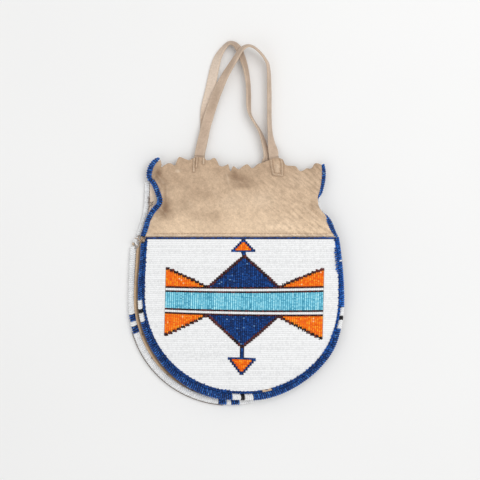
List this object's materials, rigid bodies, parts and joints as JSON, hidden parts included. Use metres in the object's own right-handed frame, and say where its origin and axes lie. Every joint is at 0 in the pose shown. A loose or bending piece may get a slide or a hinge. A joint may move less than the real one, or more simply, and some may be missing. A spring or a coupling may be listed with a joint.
{
  "type": "beaded hide bag",
  "caption": "Flat round-footed hide bag with a geometric seed-bead front, rolled bead edging, a scalloped neck that opens and two narrow hide handles.",
  "frame": {"origin": "on the flat underside of the back hide, below the middle of the round foot of the front", "axes": "the bag lies on its back: +X to the right, +Y from the round foot towards the handles, +Z out of the beaded front"},
  "size_m": [0.2056, 0.3472, 0.0179],
  "materials": {
    "buckskin": "brain-tanned hide, matt and napped",
    "handle_hide": "commercial hide strip, matt and a little grey",
    "white_beads": "opaque white seed beads, glossy",
    "blue_beads": "transparent cobalt seed beads, glossy, dark in the row",
    "black_beads": "opaque black seed beads, glossy",
    "brown_beads": "dark oxblood seed beads, glossy",
    "orange_beads": "transparent orange seed beads, glossy",
    "turquoise_beads": "opaque light turquoise seed beads, glossy"
  },
  "bodies": {
    "bag": {"back_hide": "buckskin", "gusset_strip": "buckskin", "front_hide": "buckskin", "back_handle_end_left": "handle_hide", "back_handle_end_right": "handle_hide", "white_ground": "white_beads", "turquoise_band": "turquoise_beads", "upper_white_stripe": "white_beads", "lower_white_stripe": "white_beads", "upper_inner_line": "brown_beads", "upper_outer_line": "brown_beads", "lower_inner_line": "brown_beads", "lower_outer_line": "brown_beads", "upper_diamond": "blue_beads", "upper_diamond_edge": "brown_beads", "lower_diamond": "blue_beads", "lower_diamond_edge": "brown_beads", "upper_left_wing": "orange_beads", "upper_left_wing_edge": "brown_beads", "upper_right_wing": "orange_beads", "upper_right_wing_edge": "brown_beads", "lower_left_wing": "orange_beads", "lower_left_wing_edge": "brown_beads", "lower_right_wing": "orange_beads", "lower_right_wing_edge": "brown_beads", "upper_arrow": "orange_beads", "upper_arrow_edge": "blue_beads", "lower_arrow": "orange_beads", "lower_arrow_edge": "blue_beads", "border_lane": "blue_beads", "front_edge_left_top": "blue_beads", "front_edge_left_white_a": "white_beads", "front_edge_left_black": "black_beads", "front_edge_left_white_b": "white_beads", "front_edge_left_foot": "blue_beads", "front_edge_foot_white_a": "white_beads", "front_edge_foot_black": "black_beads", "front_edge_foot_white_b": "white_beads", "front_edge_right_foot": "blue_beads", "front_edge_right_white_a": "white_beads", "front_edge_right_black": "black_beads", "front_edge_right_white_b": "white_beads", "front_edge_right_top": "blue_beads", "back_edge_left_top": "white_beads", "back_edge_left_blue_a": "blue_beads", "back_edge_left_link": "white_beads", "back_edge_left_blue_b": "blue_beads", "back_edge_left_foot": "white_beads", "back_edge_foot_blue_a": "blue_beads", "back_edge_foot_link": "white_beads", "back_edge_foot_blue_b": "blue_beads", "back_edge_right": "white_beads", "back_neck_edge_left": "white_beads"},
    "mouth_flap": {"front_neck_hide": "buckskin", "front_neck_edge_left": "blue_beads", "front_neck_edge_right": "blue_beads", "front_handle_end_left": "handle_hide", "front_handle_end_right": "handle_hide"},
    "front_handle_loop": {"front_handle": "handle_hide"},
    "back_handle_loop": {"back_handle": "handle_hide"}
  },
  "joints": [
    {"name": "mouth_flap_lift", "type": "hinge", "parent": "bag", "child": "mouth_flap", "pos_m": [0, 0.05955, 0.01471], "axis": [1, 0, 0], "range_deg": [0, 35]},
    {"name": "front_handle_swing", "type": "hinge", "parent": "mouth_flap", "child": "front_handle_loop", "pos_m": [0, 0.13586, 0.0086], "axis": [1, 0, 0], "range_deg": [0, 125]},
    {"name": "back_handle_swing", "type": "hinge", "parent": "bag", "child": "back_handle_loop", "pos_m": [0, 0.13586, -0.0004], "axis": [1, 0, 0], "range_deg": [-165, 0]}
  ]
}
